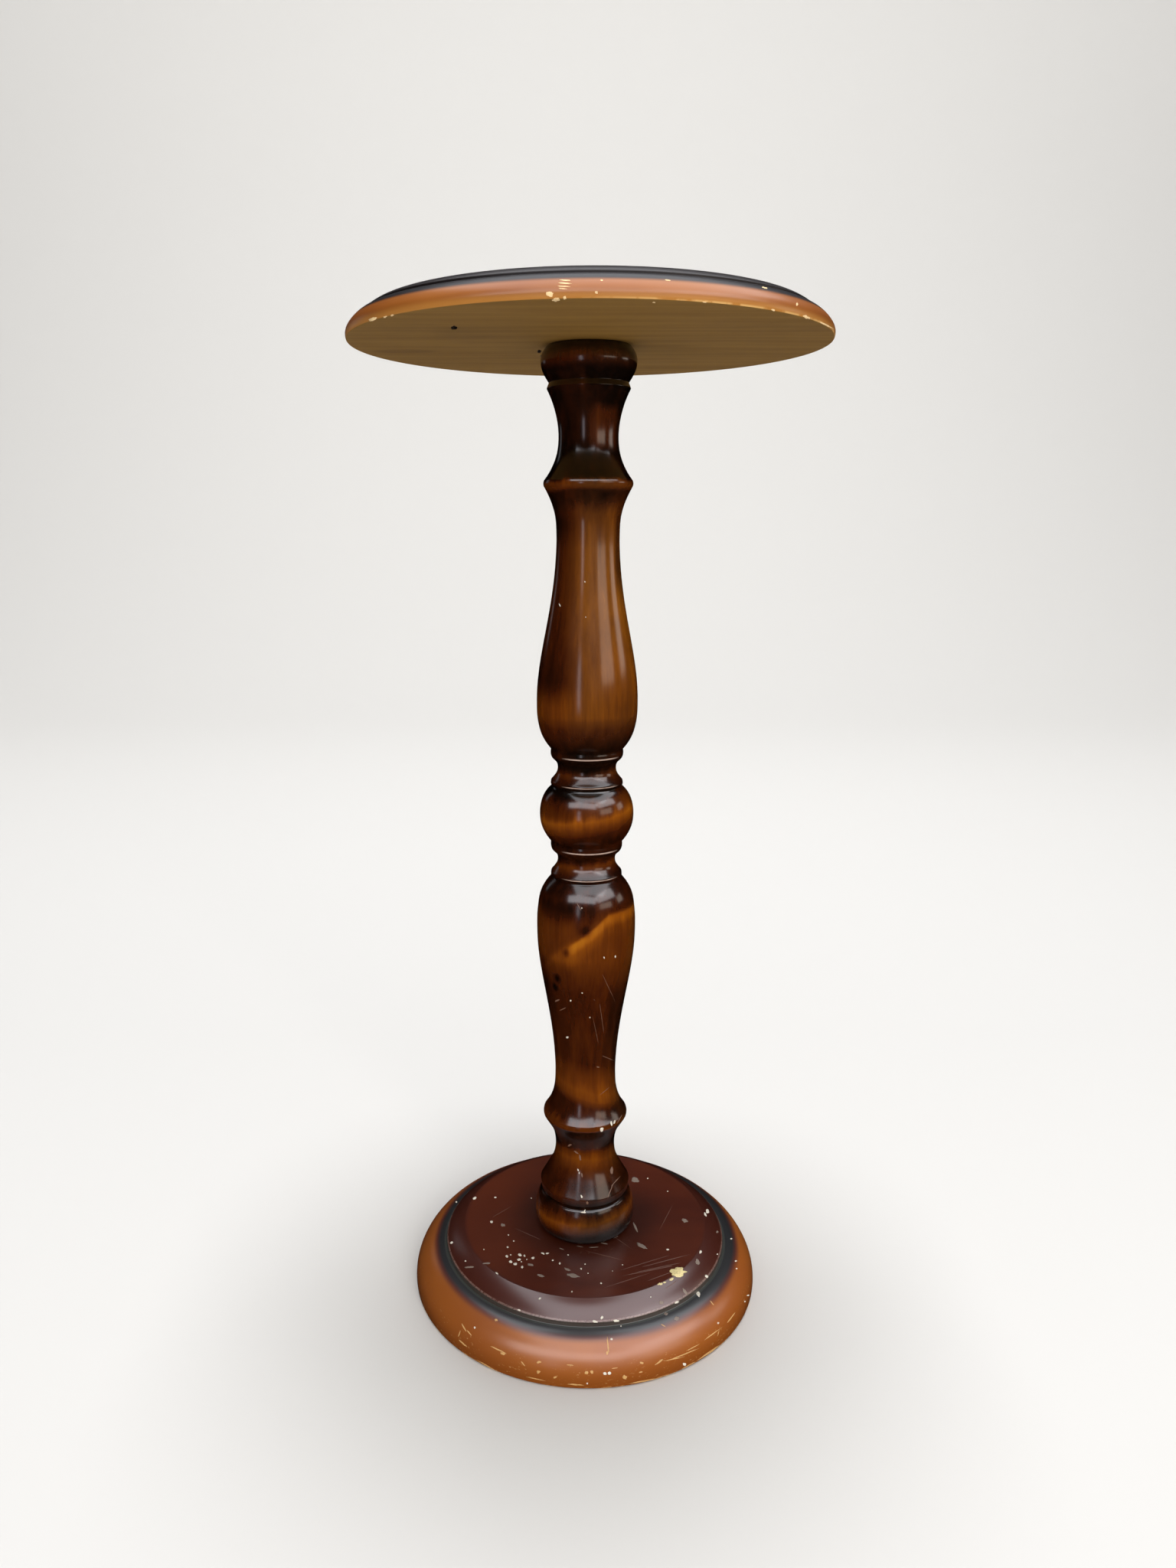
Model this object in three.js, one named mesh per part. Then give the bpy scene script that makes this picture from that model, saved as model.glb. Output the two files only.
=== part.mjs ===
import * as THREE from 'three';

// A turned pedestal: a moulded round base board, a baluster column and a round top board.
// Sizes are in millimetres. Angles are in degrees from the axis, and lean outward when positive.

// Whole stand
const standHeight = 686.5;

// Top board
const topDiameter = 305;
const topThickness = 20;
const topNoseRise = 3;
const topArrisInset = 0.4;
const topTorusWidth = 11.5;
const topTorusTop = 14.4;
const topTorusFullness = 0.36;
const topQuirkWidth = 0.8;
const topStepRise = 1.5;
const topBevelWidth = 10;
const topBevelCrown = 0.7;

// Base board
const baseDiameter = 255.5;
const baseThickness = 41;
const baseNoseRise = 4;
const baseArrisInset = 1.2;
const baseTorusWidth = 22.2;
const baseTorusTop = 29;
const baseTorusFullness = 0.5;
const baseQuirkWidth = 1.2;
const baseStepRise = 3.3;
const baseBevelWidth = 13.3;
const baseBevelCrown = 0.9;

// Foot ring, the bead that stands on the base board
const footSeatRadius = 31;
const footRadius = 36.9;
const footNoseRise = 11.5;
const footCrownRise = 16.9;
const footCrownRadius = 31.2;

// Groove over the foot and bell that flares down to it
const footGrooveWidth = 2.2;
const footGrooveDepth = 1.6;
const bellEdgeRadius = 32.4;
const bellRadius = 33;
const bellBandRise = 5.4;
const bellRise = 31;

// Lower neck, lower ring and the neck over it
const lowNeckRadius = 21.8;
const lowRingRadius = 30.7;
const lowRingFlare = 21.4;
const lowRingFall = 29.2;
const lowVaseNeckRadius = 22;

// The other turnings leave a height for the long sweeps of both vases; the lower vase has this share
const lowVaseShare = 0.502;

// Lower vase, which swells upward
const lowVaseRadius = 34.9;
const lowVaseShoulder = 39.2;
const lowVaseShoulderRadius = 25.2;

// Collar, waist and fillet, turned alike under the ball and over it
const collarGrooveWidth = 2.2;
const collarGrooveDepth = 0.9;
const collarRadius = 25;
const collarBand = 2.4;
const collarTaper = 0.2;
const collarCove = 9.2;
const waistRadius = 20.1;
const waistFlare = 6.6;
const filletRadius = 25;
const filletRise = 6.4;
const filletUnderDepth = 1.1;
const filletOverDepth = 0.3;

// Ball in the middle
const ballRadius = 32.6;
const ballSeatRadius = 24.8;
const ballRise = 38.6;

// Upper vase, which narrows upward
const highVaseRadius = 34.4;
const highVaseSwell = 33;
const highNeckRadius = 20.9;

// Upper ring, the neck over it and the sharp collar under the cap
const highRingRadius = 29.4;
const highRingFlare = 29.9;
const highRingFall = 29.4;
const capNeckRadius = 19.5;
const capCollarRadius = 27.1;
const capCollarFlare = 27.4;

// Cap, the bun under the top board
const capGrooveRadius = 25.7;
const capGrooveRise = 3.6;
const capRadius = 31;
const capSwell = 13.2;
const capFall = 9.4;
const capSeatRadius = 26.5;

// Nose of both rings
const ringNoseDepth = 0.9;
const ringNoseHalf = 2.4;
const ringArrisDepth = 0.35;

// Lean of each sweep where it leaves and arrives, and the share of its chord that it keeps each for
const sweeps = {
  bellToNeck: { leaving: -24, arriving: 0, leaveReach: 0.36, arriveReach: 0.54 },
  neckToLowRing: { leaving: 0, arriving: 32, leaveReach: 0.42, arriveReach: 0.4 },
  lowRingToVase: { leaving: -36, arriving: 0, leaveReach: 0.3, arriveReach: 0.5 },
  lowVaseSwell: { leaving: 0, arriving: 0, leaveReach: 0.4, arriveReach: 0.28 },
  lowVaseShoulder: { leaving: 0, arriving: -50, leaveReach: 0.4, arriveReach: 0.3 },
  collarCove: { leaving: -40, arriving: 0, leaveReach: 0.38, arriveReach: 0.42 },
  waistFlare: { leaving: 0, arriving: 46, leaveReach: 0.5, arriveReach: 0.3 },
  filletUnder: { leaving: 30, arriving: 0, leaveReach: 0.4, arriveReach: 0.4 },
  filletOver: { leaving: 0, arriving: -20, leaveReach: 0.4, arriveReach: 0.4 },
  ballSwell: { leaving: 42, arriving: 0, leaveReach: 0.32, arriveReach: 0.4 },
  ballShoulder: { leaving: 0, arriving: -52, leaveReach: 0.42, arriveReach: 0.3 },
  highVaseSwell: { leaving: 42, arriving: 0, leaveReach: 0.38, arriveReach: 0.4 },
  highVaseTaper: { leaving: 0, arriving: 0, leaveReach: 0.3, arriveReach: 0.42 },
  neckToHighRing: { leaving: 0, arriving: 27, leaveReach: 0.46, arriveReach: 0.4 },
  highRingToNeck: { leaving: -34, arriving: 0, leaveReach: 0.34, arriveReach: 0.52 },
  neckToCapCollar: { leaving: 0, arriving: 20, leaveReach: 0.45, arriveReach: 0.3 },
  capSwell: { leaving: 34, arriving: 0, leaveReach: 0.3, arriveReach: 0.4 },
  capFall: { leaving: 0, arriving: -42, leaveReach: 0.36, arriveReach: 0.3 },
  ringNose: { leaving: 34, arriving: 0, leaveReach: 0.4, arriveReach: 0.3 },
};

// Share of an ellipse's fullness in the quarter rounds of the foot
const footUnderFullness = 0.62;
const footCrownFullness = 0.46;

// Fineness of the turned surfaces
const boardSides = 52;
const columnSides = 32;
const facetTurn = 17;
const facetLength = 15;
const bendProbes = 24;

const toRadians = THREE.MathUtils.degToRad;

// Curve from the outline's last point to a new one; a sweep says how it leans at both ends
function sweepTo(outline, radius, height, sweep) {
  const start = outline.currentPoint.clone();
  const chord = Math.hypot(radius - start.x, height - start.y);
  const out = toRadians(sweep.leaving);
  const into = toRadians(sweep.arriving);
  outline.bezierCurveTo(
    start.x + Math.sin(out) * chord * sweep.leaveReach,
    start.y + Math.cos(out) * chord * sweep.leaveReach,
    radius - Math.sin(into) * chord * sweep.arriveReach,
    height - Math.cos(into) * chord * sweep.arriveReach,
    radius,
    height,
  );
}

// Quarter round that leaves level and arrives upright, as the underside of a bead does
function roundOut(outline, radius, height, fullness) {
  const start = outline.currentPoint.clone();
  const across = (radius - start.x) * fullness;
  const up = (height - start.y) * fullness;
  outline.bezierCurveTo(start.x + across, start.y, radius, height - up, radius, height);
}

// Quarter round that leaves upright and arrives level, as the top of a bead does
function roundIn(outline, radius, height, fullness) {
  const start = outline.currentPoint.clone();
  const across = (radius - start.x) * fullness;
  const up = (height - start.y) * fullness;
  outline.bezierCurveTo(start.x, start.y + up, radius - across, height, radius, height);
}

// Number of straight facets along a curve, so that none is long or turns far from the last
function facetCount(curve) {
  if (curve.isLineCurve) return 1;
  let bend = 0;
  for (let probe = 0; probe < bendProbes; probe += 1) {
    const here = curve.getTangent(probe / bendProbes);
    const next = curve.getTangent((probe + 1) / bendProbes);
    bend += here.angleTo(next);
  }
  return Math.max(2, Math.ceil(bend / toRadians(facetTurn)), Math.ceil(curve.getLength() / facetLength));
}

// Turn an outline of radius and height about the upright axis into a closed solid
function turn(outline, sides) {
  const points = [];
  for (const curve of outline.curves) {
    points.push(...curve.getPoints(facetCount(curve)).slice(points.length ? 1 : 0));
  }
  const geometry = new THREE.LatheGeometry(points, sides);
  geometry.rotateX(Math.PI / 2);
  return geometry;
}

// Round board: flat underside, full torus, small step, crowned bevel and flat top
function mouldedBoard(size) {
  const noseRadius = size.diameter / 2;
  const torusEnd = noseRadius - size.torusWidth;
  const stepRadius = torusEnd - size.quirkWidth;
  const lipHeight = size.torusTop + size.stepRise;
  const fieldRadius = stepRadius - size.bevelWidth;
  const bevelMiddle = new THREE.Vector2((stepRadius + fieldRadius) / 2, (lipHeight + size.thickness) / 2);
  const bevelNormal = new THREE.Vector2(size.thickness - lipHeight, size.bevelWidth).normalize();
  const crown = bevelMiddle.addScaledVector(bevelNormal, 2 * size.bevelCrown);

  const outline = new THREE.Path();
  outline.moveTo(0, 0);
  outline.lineTo(noseRadius - size.arrisInset, 0);
  outline.quadraticCurveTo(noseRadius, 0, noseRadius, size.noseRise);
  roundIn(outline, torusEnd, size.torusTop, size.torusFullness);
  outline.lineTo(stepRadius, size.torusTop);
  outline.lineTo(stepRadius, lipHeight);
  outline.quadraticCurveTo(crown.x, crown.y, fieldRadius, size.thickness);
  outline.lineTo(0, size.thickness);
  return outline;
}

// Rounded nose of a ring, which ends above in a crisp arris
function ringNose(outline, noseRadius) {
  const start = outline.currentPoint.clone();
  sweepTo(outline, noseRadius, start.y + ringNoseHalf, sweeps.ringNose);
  outline.lineTo(noseRadius - ringArrisDepth, start.y + 2 * ringNoseHalf);
}

// Groove, collar, waist and fillet, from the outline's last point upward
function collarAndFillet(outline) {
  let height = outline.currentPoint.y + collarGrooveWidth / 2;
  outline.lineTo(collarRadius - collarGrooveDepth, height);
  height += collarGrooveWidth / 2;
  outline.lineTo(collarRadius, height);
  height += collarBand;
  outline.lineTo(collarRadius - collarTaper, height);
  height += collarCove;
  sweepTo(outline, waistRadius, height, sweeps.collarCove);
  height += waistFlare;
  sweepTo(outline, filletRadius - filletUnderDepth, height, sweeps.waistFlare);
  height += filletRise / 2;
  sweepTo(outline, filletRadius, height, sweeps.filletUnder);
  height += filletRise / 2;
  sweepTo(outline, filletRadius - filletOverDepth, height, sweeps.filletOver);
}

// Foot ring, groove and bell, up to the lower neck
function footAndBell(outline) {
  let height = footNoseRise;
  outline.lineTo(footSeatRadius, 0);
  roundOut(outline, footRadius, height, footUnderFullness);
  height += footCrownRise;
  roundIn(outline, footCrownRadius, height, footCrownFullness);
  height += footGrooveWidth / 2;
  outline.lineTo(footCrownRadius - footGrooveDepth, height);
  height += footGrooveWidth / 2;
  outline.lineTo(bellEdgeRadius, height);
  height += bellBandRise;
  outline.lineTo(bellRadius, height);
  height += bellRise;
  sweepTo(outline, lowNeckRadius, height, sweeps.bellToNeck);
}

// Lower ring and lower vase, up to the groove under the first collar
function lowerVase(outline, swell) {
  let height = outline.currentPoint.y + lowRingFlare;
  sweepTo(outline, lowRingRadius - ringNoseDepth, height, sweeps.neckToLowRing);
  ringNose(outline, lowRingRadius);
  height = outline.currentPoint.y + lowRingFall;
  sweepTo(outline, lowVaseNeckRadius, height, sweeps.lowRingToVase);
  height += swell;
  sweepTo(outline, lowVaseRadius, height, sweeps.lowVaseSwell);
  height += lowVaseShoulder;
  sweepTo(outline, lowVaseShoulderRadius, height, sweeps.lowVaseShoulder);
}

function ball(outline) {
  const height = outline.currentPoint.y;
  sweepTo(outline, ballRadius, height + ballRise / 2, sweeps.ballSwell);
  sweepTo(outline, ballSeatRadius, height + ballRise, sweeps.ballShoulder);
}

// Upper vase, upper ring and the neck over it, up to the sharp collar
function upperVase(outline, taper) {
  let height = outline.currentPoint.y + highVaseSwell;
  sweepTo(outline, highVaseRadius, height, sweeps.highVaseSwell);
  height += taper;
  sweepTo(outline, highNeckRadius, height, sweeps.highVaseTaper);
  height += highRingFlare;
  sweepTo(outline, highRingRadius - ringNoseDepth, height, sweeps.neckToHighRing);
  ringNose(outline, highRingRadius);
  height = outline.currentPoint.y + highRingFall;
  sweepTo(outline, capNeckRadius, height, sweeps.highRingToNeck);
  height += capCollarFlare;
  sweepTo(outline, capCollarRadius, height, sweeps.neckToCapCollar);
}

// Bun that carries the top board
function cap(outline) {
  let height = outline.currentPoint.y + capGrooveRise;
  outline.lineTo(capGrooveRadius, height);
  height += capSwell;
  sweepTo(outline, capRadius, height, sweeps.capSwell);
  height += capFall;
  sweepTo(outline, capSeatRadius, height, sweeps.capFall);
  outline.lineTo(0, height);
}

function columnOutline(longSweeps) {
  const outline = new THREE.Path();
  outline.moveTo(0, 0);
  footAndBell(outline);
  lowerVase(outline, longSweeps * lowVaseShare);
  collarAndFillet(outline);
  ball(outline);
  collarAndFillet(outline);
  upperVase(outline, longSweeps * (1 - lowVaseShare));
  cap(outline);
  return outline;
}

const lacquer = new THREE.MeshStandardMaterial({ color: 0x4a2210, roughness: 0.28, metalness: 0 });
const baseFinish = new THREE.MeshStandardMaterial({ color: 0x7a3f1c, roughness: 0.42, metalness: 0 });
const topFinish = new THREE.MeshStandardMaterial({ color: 0x8a4c24, roughness: 0.45, metalness: 0 });

const baseBoard = new THREE.Mesh(
  turn(mouldedBoard({
    diameter: baseDiameter,
    thickness: baseThickness,
    noseRise: baseNoseRise,
    arrisInset: baseArrisInset,
    torusWidth: baseTorusWidth,
    torusTop: baseTorusTop,
    torusFullness: baseTorusFullness,
    quirkWidth: baseQuirkWidth,
    stepRise: baseStepRise,
    bevelWidth: baseBevelWidth,
    bevelCrown: baseBevelCrown,
  }), boardSides),
  baseFinish,
);
baseBoard.name = 'base_board';

const columnLength = standHeight - baseThickness - topThickness;
const otherTurnings = columnOutline(0).currentPoint.y;
const columnShape = columnOutline(columnLength - otherTurnings);
const column = new THREE.Mesh(turn(columnShape, columnSides), lacquer);
column.name = 'column';

const topBoard = new THREE.Mesh(
  turn(mouldedBoard({
    diameter: topDiameter,
    thickness: topThickness,
    noseRise: topNoseRise,
    arrisInset: topArrisInset,
    torusWidth: topTorusWidth,
    torusTop: topTorusTop,
    torusFullness: topTorusFullness,
    quirkWidth: topQuirkWidth,
    stepRise: topStepRise,
    bevelWidth: topBevelWidth,
    bevelCrown: topBevelCrown,
  }), boardSides),
  topFinish,
);
topBoard.name = 'top_board';

// Each piece sits face to face on the one below; meshes keep heights as 32-bit numbers
column.position.z = Math.fround(baseThickness);
topBoard.position.z = column.position.z + Math.fround(columnShape.currentPoint.y);

const pedestal = new THREE.Group();
pedestal.add(baseBoard, column, topBoard);

export default pedestal;
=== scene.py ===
"""Looks of a turned wooden pedestal: a lacquered base board, a baluster column and a round top."""

import math
import random

import bmesh
import bpy
from mathutils import Matrix, Vector, geometry, noise
from mathutils.bvhtree import BVHTree


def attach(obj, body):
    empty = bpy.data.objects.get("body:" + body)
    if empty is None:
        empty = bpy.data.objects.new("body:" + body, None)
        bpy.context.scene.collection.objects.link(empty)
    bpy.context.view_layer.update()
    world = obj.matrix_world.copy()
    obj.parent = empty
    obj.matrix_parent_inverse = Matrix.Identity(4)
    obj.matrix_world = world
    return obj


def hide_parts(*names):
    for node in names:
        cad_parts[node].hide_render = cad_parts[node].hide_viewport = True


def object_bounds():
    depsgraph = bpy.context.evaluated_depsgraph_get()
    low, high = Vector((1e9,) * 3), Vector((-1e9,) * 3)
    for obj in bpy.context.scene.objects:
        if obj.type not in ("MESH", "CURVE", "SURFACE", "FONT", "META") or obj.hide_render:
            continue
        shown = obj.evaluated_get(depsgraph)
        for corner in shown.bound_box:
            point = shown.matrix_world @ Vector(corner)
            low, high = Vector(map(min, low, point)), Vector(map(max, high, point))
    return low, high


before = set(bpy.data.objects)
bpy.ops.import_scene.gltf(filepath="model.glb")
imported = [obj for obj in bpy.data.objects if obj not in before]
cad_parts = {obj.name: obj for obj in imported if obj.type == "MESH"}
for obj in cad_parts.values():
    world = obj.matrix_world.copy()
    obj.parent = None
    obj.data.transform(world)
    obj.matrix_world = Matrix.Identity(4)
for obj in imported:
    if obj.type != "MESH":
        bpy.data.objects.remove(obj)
cad_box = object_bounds()
rng = random.Random(7)

MM = 0.001

# The photograph: its size, its focal length and the pixel across where the lens's axis meets it; then the
# camera's place in metres and its tilt down in degrees
PHOTO_WIDTH = 1536
PHOTO_HEIGHT = 2048
FOCAL_PIXELS = 1464
AXIS_PIXEL = 734
CAMERA_PLACE = Vector((-0.0172, -0.7575, 0.5552))
CAMERA_TILT = 13.008
SENSOR_MM = 36

# How far the boards' visible edges are in front of the camera, in metres
EDGE_DISTANCE = 0.66

# Radii of the boards' flat middle, small step and outer edge, and the height of the top's underside, in
# millimetres
BASE_FIELD = 91.0
BASE_STEP = 104.3
BASE_EDGE = 128.0
TOP_STEP = 140.2
TOP_UNDERSIDE = 666.5

# Crisp arrises of each turned outline, as radius and height in millimetres
BASE_ARRISES = ((126.5, 0.0), (BASE_STEP, 29.0), (BASE_STEP, 32.3), (BASE_FIELD, 41.0))
TOP_ARRISES = ((152.1, TOP_UNDERSIDE), (TOP_STEP, 680.9), (TOP_STEP, 682.4), (130.2, 686.5))
COLUMN_ARRISES = (
    (31.0, 41.0), (31.2, 69.4), (29.6, 70.5), (32.4, 71.6), (33.0, 77.0), (30.35, 134.2), (25.2, 313.5),
    (24.1, 314.6), (25.0, 315.7), (24.8, 318.1), (24.7, 340.3),
    (24.8, 379.0), (24.1, 380.0), (25.0, 381.1), (24.8, 383.5), (24.7, 405.7),
    (29.05, 583.5), (27.1, 640.3), (25.7, 643.9), (26.5, 666.5),
)

# How an arris is eased: the width rounded off, the width whose shading stays flat, and its fullness
ARRIS_EASE = 0.35 * MM
ARRIS_REACH = 1.2 * MM
ARRIS_FULLNESS = 0.6

# The longest step and the widest bend along a smooth span, and the number of sides round each piece
OUTLINE_STEP = 4 * MM
OUTLINE_BEND = math.radians(4)
BOARD_SIDES = 256
COLUMN_SIDES = 192

# Points closer than these are one point: in the solids, and where mirrored halves meet
SOLID_GAP = 0.001 * MM
SEAM_GAP = 0.002 * MM

# How far a flake's outline strays, in how many waves, and how high it lies on the surface, in millimetres
FLAKE_STRAY = 0.45
FLAKE_WAVES = 1.4
FLAKE_LIFT = 0.02

# Marks seen in the photograph: pixels across and down, width and height in pixels, turn in degrees
BASE_PAINT_DROPS = (
    (647, 1564, 3, 2.4, 0), (620, 1565, 5, 3, 30), (642, 1596, 4, 3, 0), (596, 1570, 2.4, 2, 0),
    (590, 1623, 4.5, 2.6, 35), (663, 1629, 2.6, 2.2, 0), (662, 1641, 3.6, 3, 0), (667, 1639, 2, 1.6, 0),
    (679, 1639, 4.6, 3.6, 0), (685, 1640, 2.2, 3.2, 20), (667, 1648, 4.2, 3.4, 0), (678, 1645, 5.6, 3, 8),
    (673, 1651, 5, 3.2, 0), (696, 1643, 4.4, 3, 0), (681, 1648, 1.8, 1.4, 0), (688, 1645, 1.6, 1.2, 0),
    (682, 1655, 3, 3.4, 0), (709, 1637, 5, 2.2, -20), (715, 1637, 4.4, 2, 15), (722, 1646, 2.4, 2, 0),
    (731, 1650, 2.2, 3, 0), (759, 1657, 2.4, 2.2, 0), (785, 1676, 2.2, 2, 0), (747, 1687, 1.8, 2, 0),
    (608, 1647, 2.4, 1.8, 0), (632, 1632, 1.6, 1.4, 0), (649, 1663, 4.4, 1.8, -40),
    (705, 1696, 3.4, 2, 30), (872, 1632, 4.2, 2, 0), (846, 1539, 2, 1.6, 0), (872, 1556, 1.8, 1.4, 0),
    (694, 1565, 1.8, 1.4, 0), (915, 1635, 3, 4.4, -20), (768, 1663, 1.6, 1.4, 0),
    (664, 1613, 1.8, 1.4, 0), (671, 1621, 2, 1.6, 0), (764, 1651, 1.6, 1.6, 0), (813, 1652, 1.6, 1.4, 0),
    (850, 1694, 2, 1.4, 0), (678, 1711, 4.6, 2.2, -10), (777, 1726, 7, 3.2, -20),
    (786, 1721, 3.4, 5, -30), (805, 1725, 8, 3.6, 5), (884, 1701, 6, 3, 25), (912, 1690, 4.6, 7, 15),
    (921, 1586, 2.4, 6, 25), (924, 1582, 4, 6.4, 25), (923, 1667, 5, 3.4, -35), (937, 1638, 1.8, 1.8, 0),
    (955, 1618, 2.6, 1.8, 0), (742, 1639, 2, 1.4, 0), (800, 1660, 1.2, 1.2, 0), (811, 1732, 1.8, 1.8, 0),
    (799, 1749, 3.4, 2.4, -20), (790, 1794, 4.4, 4.2, 0), (796, 1793.5, 4.2, 4.6, 30),
    (894, 1782, 4, 4.4, 20), (977, 1692, 3, 2.2, 0), (938, 1728, 2.6, 2.6, 0), (620, 1734, 2.6, 2.6, 0),
    (767, 1807, 2.4, 2.2, 0), (973, 1700, 2, 2, 0), (961, 1647, 3, 2, 0), (962, 1657, 2.4, 2, 0),
)
BASE_DUST_SMEARS = (
    (829, 1541, 10, 7, -15), (894, 1594, 8, 4.6, -25), (838, 1627, 14, 4.2, -28), (801, 1615, 11, 4.4, 0),
    (657, 1600, 6, 4, 0), (911, 1648, 5, 8, 25), (741, 1658, 8, 3, -20), (748, 1666, 16, 5, -12),
    (706, 1666, 9, 3, -15), (613, 1655, 12, 2.4, 6), (636, 1650, 10, 2.2, 4), (693, 1652, 8, 3, -5),
    (864, 1701, 6, 4.4, 0), (870, 1716, 5, 4, 0), (884, 1722, 7, 5.6, 0), (895, 1687, 11, 3.4, -50),
    (789, 1624, 9, 1.6, -10), (776, 1629, 12, 1.2, 4), (757, 1628, 8, 1, -12), (830, 1603, 2.4, 14, 25),
    (937, 1609, 3, 3, 0), (733, 1631, 6, 1.2, -20),
)
BASE_SCRATCHES = (
    (850, 1659, 62, 1.0, 11), (862, 1655, 58, 0.9, 12), (868, 1647, 62, 0.8, 15),
    (820, 1672, 50, 0.8, 18), (840, 1650, 64, 0.7, 17), (862, 1667, 34, 0.9, 20),
    (878, 1677, 18, 1.0, 35), (790, 1640, 46, 0.5, -14), (806, 1618, 40, 0.5, -35),
    (690, 1612, 36, 0.5, -24), (655, 1583, 30, 0.5, 30), (870, 1590, 34, 0.5, 62),
)
EDGE_CHIPS = (
    (794, 1757, 1.6, 22, 6), (793, 1767, 2.6, 5, 0), (861, 1779, 12, 2.2, 38), (657, 1768, 6, 3.4, -20),
    (651, 1763, 22, 1.6, -26), (606, 1734, 12, 1.6, -60), (613, 1741, 9, 1.4, -50),
    (605, 1755, 14, 1.8, -42), (683, 1781, 8, 1.6, -50), (704, 1779, 6, 3, 10), (838, 1780, 5, 2.6, -15),
    (766, 1793, 4.4, 4.4, 0), (773, 1792, 3.6, 4.4, 20), (703, 1792, 4.4, 4, 0),
    (725, 1799, 4.6, 2.4, 30), (816, 1799, 6, 4.6, -30), (837, 1792, 5, 1.8, 10),
    (893, 1769, 40, 1.4, 22), (880, 1775, 26, 1.2, 12), (905, 1760, 20, 1.2, 28),
    (930, 1743, 26, 1.2, 36), (955, 1721, 18, 1.4, 52), (648, 1724, 4, 3, 0), (927, 1766, 34, 2.2, 34),
    (900, 1783, 18, 1.4, 28), (842, 1803.5, 40, 1.6, 10), (882, 1793, 26, 1.4, 18),
    (752, 1808.5, 18, 1.8, -4), (638, 1785, 30, 1.4, -30), (700, 1801, 24, 1.2, -12),
    (930, 1702, 8, 1.2, -50), (600, 1742, 8, 1.2, 70), (866, 1731, 7, 1.2, -30), (745, 1783, 9, 1.2, -6),
    (803, 1787, 8, 1.0, 8), (960, 1746, 14, 1.8, 48),
)
BIG_CHIP = ((886, 1661, 19, 13, 8), (877, 1671, 6, 3, 30), (868, 1675, 4, 2, 20), (862.5, 1677, 7, 3, 12))
COLUMN_CHIPS = (
    (786, 1475.5, 4.4, 6.4, -20), (798.5, 1467.5, 2.6, 7, 10), (802.5, 1465.5, 2.2, 5.4, -15),
    (759.6, 1563, 2.4, 5, 15), (762, 1583.5, 6.6, 2.2, -4), (763.6, 1581.5, 1.8, 4, -20),
    (755, 1528, 1.8, 3, 15), (756.5, 1532, 1.6, 3, -10), (741, 1355, 3.2, 2.6, 0),
    (745.3, 1307, 2, 2.4, 0), (760.4, 1297, 1.8, 1.6, 0), (770.4, 1329, 1.6, 1.4, 0),
    (764, 760, 1.8, 2.2, 0), (765, 806, 0.9, 1.6, 0), (731, 790, 1.2, 5, 25),
    (803.7, 1249.5, 1.4, 3.4, 0), (760, 1186, 1.6, 1.6, 0), (789, 1250.7, 1.4, 2.6, 10),
)
COLUMN_SCUFFS = (
    (799, 1529, 4, 9, -5), (797, 1556, 1.0, 22, -22), (804, 1543, 1.0, 16, -42), (744, 1496, 5, 2.4, 20),
    (752.4, 1505, 7, 2, -35), (757.5, 1512, 2.6, 7, 10), (767, 1571, 2.6, 4, 0),
    (727.7, 1306.8, 7, 2, 20), (796.5, 1383, 20, 0.6, -22), (781, 1393.6, 4, 1.4, -10),
    (786, 1330, 0.4, 40, 8), (778, 1346, 0.4, 30, 12), (795, 1290, 0.4, 34, 25), (790, 1425, 16, 0.5, 40),
    (760, 1535, 1.6, 6, 10), (735, 1318, 9, 1.0, 25), (809, 1462, 0.9, 12, -30), (756, 1184, 0.8, 12, 30),
)
RIM_CHIPS = (
    (738, 366, 13, 1.5, -4), (738, 370, 17, 1.6, -4), (737, 374, 15, 1.5, -3), (735, 377, 10, 1.2, -3),
    (718, 384, 9, 7, 0), (726, 391.5, 10, 5, 10), (737.5, 389, 4.4, 4, 0), (779, 382, 4, 3.2, 0),
    (487, 417, 10, 5, 20), (503, 414, 5, 2, 20), (512, 412, 4, 2.4, 20), (872, 366, 8, 1.6, -8),
    (786, 366, 3, 2, 0), (999, 376, 8, 1.8, -14), (1041, 397.5, 2.4, 4, 0), (1010, 405, 5, 2.4, -18),
    (1053, 414, 9, 4, -25), (1079, 424.5, 18, 2, -27), (854, 395, 4, 1.6, 0), (920, 394.5, 5, 1.6, -8),
)
NAIL_HOLES = ((593, 428, 8, 5.6, 0), (704, 459, 5, 4.4, 0), (707, 465, 3, 3, 0))
UNDERSIDE_STAIN = (527, 459)

# Colours of the marks, as sRGB from 0 to 255
PAINT = (238, 232, 216)
DUST = (128, 112, 100)
SCRATCH = (104, 64, 50)
BARE_WOOD = (214, 166, 98)
FILLER = (244, 226, 160)
SCUFF = (120, 88, 70)
RIM_WOOD = (240, 206, 150)
NAIL_HOLE = (30, 20, 12)

# The marks on each piece: colour, thickness in millimetres, fineness of the flake and where they are
BASE_MARKS = (
    (PAINT, 0.14, 2, BASE_PAINT_DROPS),
    (DUST, 0.03, 3, BASE_DUST_SMEARS),
    (SCRATCH, 0.02, 3, BASE_SCRATCHES),
    (BARE_WOOD, 0.03, 3, EDGE_CHIPS),
    (FILLER, 0.16, 4, BIG_CHIP),
)
COLUMN_MARKS = ((PAINT, 0.12, 2, COLUMN_CHIPS), (SCUFF, 0.02, 3, COLUMN_SCUFFS))
TOP_MARKS = ((RIM_WOOD, 0.05, 3, RIM_CHIPS), (NAIL_HOLE, 0.03, 2, NAIL_HOLES))

# Knots in the column, as degrees to the right of the front, height and size in millimetres
COLUMN_KNOTS = ((-1, 284, 4.5), (-25, 268, 3.5), (-40, 247, 3.5), (-45, 239, 3))

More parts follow.
